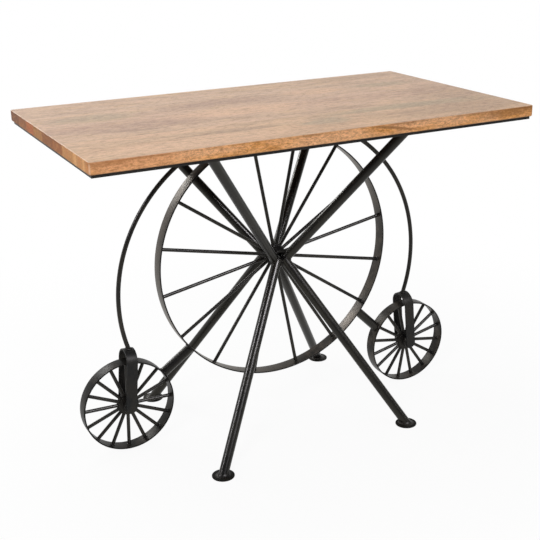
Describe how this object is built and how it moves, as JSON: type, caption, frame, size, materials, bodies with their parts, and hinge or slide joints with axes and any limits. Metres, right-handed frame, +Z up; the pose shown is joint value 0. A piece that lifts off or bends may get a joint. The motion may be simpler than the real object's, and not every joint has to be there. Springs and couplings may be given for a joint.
{
  "type": "wagon wheel table",
  "caption": "Rectangular wooden top on a welded black steel base of crossed tube legs, with a large spoked wheel in the middle and smaller spoked wheels in strap forks at the ends.",
  "frame": {"origin": "on the floor under the middle of the top", "axes": "+X along the length of the top, +Y across the top from front to back, +Z up; the wheels stand in the XZ plane"},
  "size_m": [1.01, 0.565, 0.75],
  "materials": {
    "top_wood": "pale edge-glued hardwood with streaked grain, thin satin lacquer",
    "black_steel": "black satin powder coat over welded mild steel",
    "screw_steel": "zinc-plated wood screws"
  },
  "bodies": {
    "root": {"top_stave_1": "top_wood", "top_stave_2": "top_wood", "top_stave_3": "top_wood", "top_stave_4": "top_wood", "top_stave_5": "top_wood", "top_stave_6": "top_wood", "top_stave_7": "top_wood", "top_stave_8": "top_wood", "frame_front_bar": "black_steel", "frame_back_bar": "black_steel", "frame_left_bar": "black_steel", "frame_right_bar": "black_steel", "frame_left_cross_rail": "black_steel", "frame_right_cross_rail": "black_steel", "frame_centre_rail": "black_steel", "top_screws": "screw_steel", "main_wheel_rim": "black_steel", "main_wheel_hub": "black_steel", "main_wheel_spoke_01": "black_steel", "main_wheel_spoke_02": "black_steel", "main_wheel_spoke_03": "black_steel", "main_wheel_spoke_04": "black_steel", "main_wheel_spoke_05": "black_steel", "main_wheel_spoke_06": "black_steel", "main_wheel_spoke_07": "black_steel", "main_wheel_spoke_08": "black_steel", "main_wheel_spoke_09": "black_steel", "main_wheel_spoke_10": "black_steel", "main_wheel_spoke_11": "black_steel", "main_wheel_spoke_12": "black_steel", "main_wheel_spoke_13": "black_steel", "main_wheel_spoke_14": "black_steel", "main_wheel_spoke_15": "black_steel", "main_wheel_spoke_16": "black_steel", "front_left_upper_leg": "black_steel", "front_left_lower_leg": "black_steel", "front_right_upper_leg": "black_steel", "front_right_lower_leg": "black_steel", "back_left_upper_leg": "black_steel", "back_left_lower_leg": "black_steel", "back_right_upper_leg": "black_steel", "back_right_lower_leg": "black_steel", "front_left_foot": "black_steel", "front_right_foot": "black_steel", "back_left_foot": "black_steel", "back_right_foot": "black_steel", "left_wheel_rim": "black_steel", "left_wheel_hub": "black_steel", "left_wheel_spokes": "black_steel", "left_fork": "black_steel", "left_bent_rod": "black_steel", "left_brace": "black_steel", "right_wheel_rim": "black_steel", "right_wheel_hub": "black_steel", "right_wheel_spokes": "black_steel", "right_fork": "black_steel", "right_bent_rod": "black_steel", "right_brace": "black_steel"}
  },
  "joints": []
}
